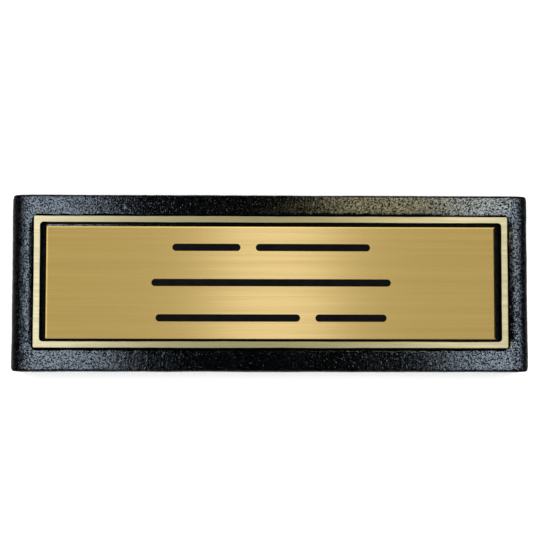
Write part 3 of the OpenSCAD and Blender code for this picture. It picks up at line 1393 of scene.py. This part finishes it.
@dataclass
class Studio:
    """Pale floor, soft lights and the camera that looks down on the object."""

    target: Point = (-0.15 * MM, 2.93 * MM, 13.9 * MM)
    distance: float = 350 * MM
    tilt: float = 4.31
    yaw: float = -1.38
    roll: float = 0.16
    lens: float = 103.1

    def camera(self) -> None:
        """Adds the camera, nearly overhead and leaning to the front."""
        tilt, yaw, roll = (math.radians(a) for a in (self.tilt, self.yaw, self.roll))
        back = Vector((math.sin(yaw) * math.cos(tilt), -math.sin(tilt), math.cos(yaw) * math.cos(tilt)))
        level = (Vector((1, 0, 0)) - back * back.x).normalized()
        upright = back.cross(level)
        right = level * math.cos(roll) + upright * math.sin(roll)
        top = upright * math.cos(roll) - level * math.sin(roll)
        data = bpy.data.cameras.new("camera")
        data.lens = self.lens
        data.sensor_width = 36
        data.clip_start = 0.01
        data.clip_end = 50
        seen = bpy.data.objects.new("camera", data)
        place_matrix = Matrix((right, top, back)).transposed().to_4x4()
        place_matrix.translation = Vector(self.target) + back * self.distance
        seen.matrix_world = place_matrix
        bpy.context.scene.collection.objects.link(seen)
        bpy.context.scene.camera = seen

    def floor(self) -> None:
        """Adds the floor, a wide near-white sheet."""
        half, level = 4.0, -0.02 * MM
        corners = [(-half, -half, level), (half, -half, level), (half, half, level), (-half, half, level)]
        mesh = new_mesh("floor", corners, [(0, 1, 2, 3)], [False])
        floor = bpy.data.objects.new("floor", mesh)
        bpy.context.scene.collection.objects.link(floor)
        material, graph, shader = start_material("pale_floor")
        tone = graph.noise(graph.place(), 3.0, 2, 0.5)
        colour = graph.blend(graph.spread(tone, 0.3, 0.7, 0, 1), (0.86, 0.86, 0.86, 1), (0.9, 0.9, 0.9, 1))
        graph.tree.links.new(colour, shader.inputs["Base Color"])
        shader.inputs["Roughness"].default_value = 0.9
        shader.inputs["Specular IOR Level"].default_value = 0.1
        mesh.materials.append(material)
        floor.visible_glossy = False

    def sky(self) -> None:
        """Room light: dark overhead, dim round the horizon, and pale where the camera sees it."""
        world = bpy.data.worlds.new("room")
        bpy.context.scene.world = world
        world.use_nodes = True
        graph = Graph(world.node_tree)
        graph.clear()
        direction = graph.add("ShaderNodeTexCoord").outputs["Generated"]
        height = graph.add("ShaderNodeSeparateXYZ", {0: direction}).outputs["Z"]
        ramp = graph.add("ShaderNodeValToRGB", {"Fac": graph.spread(height, -1.0, 1.0, 0.0, 1.0)})
        stops = ramp.color_ramp.elements
        stops[0].position, stops[0].color = 0.0, (0.35, 0.35, 0.35, 1)
        stops[1].position, stops[1].color = 1.0, (0.012, 0.012, 0.013, 1)
        for position, level in ((0.36, 0.20), (0.46, 0.16), (0.52, 0.15), (0.62, 0.10), (0.8, 0.03)):
            stops.new(position).color = (level, level, level * 1.03, 1)
        shade = graph.add("ShaderNodeBackground", {"Color": ramp.outputs["Color"], "Strength": 1.0})
        pale = graph.add("ShaderNodeBackground", {"Color": (1, 1, 1, 1), "Strength": 1.0})
        seen = graph.add("ShaderNodeLightPath").outputs["Is Camera Ray"]
        mixed = graph.add(
            "ShaderNodeMixShader", {0: seen, 1: shade.outputs["Background"], 2: pale.outputs["Background"]}
        )
        graph.add("ShaderNodeOutputWorld", {"Surface": mixed.outputs["Shader"]})

    def lights(self) -> None:
        """Adds the softboxes and the soft light of the floor."""
        cool, warm, plain = (0.83, 1.0, 1.18), (1.12, 1.0, 0.56), (1.0, 1.0, 1.0)
        sheen = (0.97, 1.06, 1.95)
        low, mid, tall = 110 * MM, 200 * MM, 600 * MM
        steps = 4
        for k in range(steps):
            part = (k + 0.5) / steps
            left = -(0.098 + 0.140 * part**2)
            right = 0.108 + 0.150 * part**2
            near, far = -0.034 + 0.004 * part, 0.047 - 0.004 * part
            power = 4.1 / steps
            lift = low + k * MM
            low_end, high_end = (-0.0469, far), (0.056, near)
            Softbox(
                f"paint_left_{k}", (left, near), low_end, lift, 0.95 * power, cool, Lit.PAINT, 7.0
            ).make()
            Softbox(f"paint_right_{k}", high_end, (right, far), lift, power, cool, Lit.PAINT).make()
        for k, (reach, power) in enumerate(((0.054, 1.25), (0.067, 1.4), (0.085, 1.5))):
            lift = 0.115 + k * MM
            Softbox(f"paint_warm_{k}", (0.0195, 0.0242), (reach, 0.045), lift, power, warm, Lit.PAINT).make()
        for light in (
            Softbox("frame_left", (-0.26, -0.1), (-0.06, 0.1), mid, 1.25, (0.97, 1.0, 1.24), Lit.FRAME),
            Softbox("frame_warm", (0.036, 0.012), (0.066, 0.14), 0.205, 0.84, (1.14, 0.95, 0.47), Lit.FRAME),
            Softbox("frame_right", (0.066, -0.1), (0.093, 0.1), mid, 1.45, (1.0, 1.0, 1.28), Lit.FRAME),
            Softbox("frame_wash", (-0.5, -0.24), (0.5, 0.7), tall, 0.37, (1.0, 1.0, 0.85), Lit.FRAME),
            Softbox("plate_strip", (-0.017, -0.3), (0.045, 0.3), 0.5, 0.61, sheen, Lit.PLATE),
            Softbox("plate_wash", (-0.42, -0.32), (0.29, 0.42), tall, 0.565, plain, Lit.PLATE),
            Softbox("plate_left", (-0.46, -0.25), (-0.24, 0.25), 0.61, 0.5, plain, Lit.PLATE),
            Softbox("plate_back", (-0.4, 0.24), (0.4, 0.55), 0.62, 0.6, plain, Lit.PLATE),
        ):
            light.make()
        for name, aside, lit, strength in (
            ("paint_front", (0, -1), Lit.PAINT, 0.55),
            ("paint_back", (0, 1), Lit.PAINT, 0.6),
            ("brass_front", (0, -1), Lit.FRAME, 0.5),
            ("brass_back", (0, 1), Lit.FRAME, 0.55),
            ("brass_left", (-1, 0), Lit.FRAME, 0.5),
            ("brass_right", (1, 0), Lit.FRAME, 0.45),
            ("plate_ring_front", (0, -1), Lit.PLATE, 0.5),
            ("plate_ring_back", (0, 1), Lit.PLATE, 0.55),
            ("plate_ring_left", (-1, 0), Lit.PLATE, 0.5),
            ("plate_ring_right", (1, 0), Lit.PLATE, 0.45),
        ):
            self._wall_panel(name, aside, lit, strength)
        sun = bpy.data.lights.new("floor_light", "SUN")
        sun.energy = 5.6
        sun.angle = math.radians(80)
        add_light(sun, Lit.FLOOR)

    def _wall_panel(self, name: str, aside: tuple[int, int], lit: Lit, strength: float) -> None:
        """Adds a large upright panel to one side, facing the object.

        Args:
            name: Name of the light.
            aside: Direction of the panel from the object, seen from above.
            lit: The pieces that it falls on.
            strength: Its radiance.
        """
        away, width, height = 1.0, 2.3, 0.85
        light = add_light(area_lamp(name, width, height, strength), lit)
        light.location = (aside[0] * away, aside[1] * away, height / 2 + 0.01)
        facing = Vector((-aside[0], -aside[1], 0))
        light.rotation_euler = facing.to_track_quat("-Z", "Y").to_euler()

    def exposure(self) -> None:
        """Plain display transform, so that the colours stay as set."""
        view = bpy.context.scene.view_settings
        view.view_transform = "Standard"
        view.look = "None"
        view.exposure = 0.0
        view.gamma = 1.0


def main() -> None:
    """Builds every sub-assembly and the studio, in order."""
    logging.basicConfig(level=logging.INFO, format="%(name)s: %(message)s")
    effects = SharedEffects()
    enamel = TexturedEnamel().make(effects)
    pale = BrushedBrass(
        name="pale_brushed_brass",
        colour=(0.80, 0.74, 0.43),
        tarnish=(0.64, 0.575, 0.32),
        roughness=(0.30, 0.38),
        anisotropy=0.4,
        lines=4200.0,
        stretch=0.02,
        tint=0.9,
        patches=0.12,
        line_depth=0.003 * MM,
    ).make(effects)
    gold = BrushedBrass(
        name="gold_brushed_brass",
        colour=(0.80, 0.575, 0.18),
        tarnish=(0.70, 0.49, 0.145),
        roughness=(0.185, 0.205),
        anisotropy=0.6,
        lines=3200.0,
        stretch=0.010,
        tint=0.85,
        patches=0.03,
        line_depth=0.0002 * MM,
    ).make(effects)
    # Matt black that stands in for the shade in the recess gaps: painted shade.
    recess_shade = RecessPaintedShade().make(effects)
    CastBase().dress(enamel, recess_shade)
    BorderFrame().dress([pale, enamel, recess_shade])
    NamePlate().dress(gold, InfillEnamel().make(effects))
    FeltPad().dress(PressedFelt().make(effects))
    bonds = {
        "frame_bond": Bonding("bonding_resin", (0.10, 0.085, 0.06), (0.05, 0.042, 0.03), (0.35, 0.5)),
        "plate_film": Bonding("mounting_film", (0.58, 0.55, 0.46), (0.46, 0.43, 0.35), (0.4, 0.6)),
        "felt_glue": Bonding("felt_adhesive", (0.40, 0.36, 0.22), (0.28, 0.25, 0.15), (0.3, 0.55)),
    }
    for node, bond in bonds.items():
        dress_node(node, bond.make(effects))
    studio = Studio()
    studio.camera()
    studio.floor()
    studio.sky()
    studio.lights()
    studio.exposure()


if __name__ == "__main__":
    main()
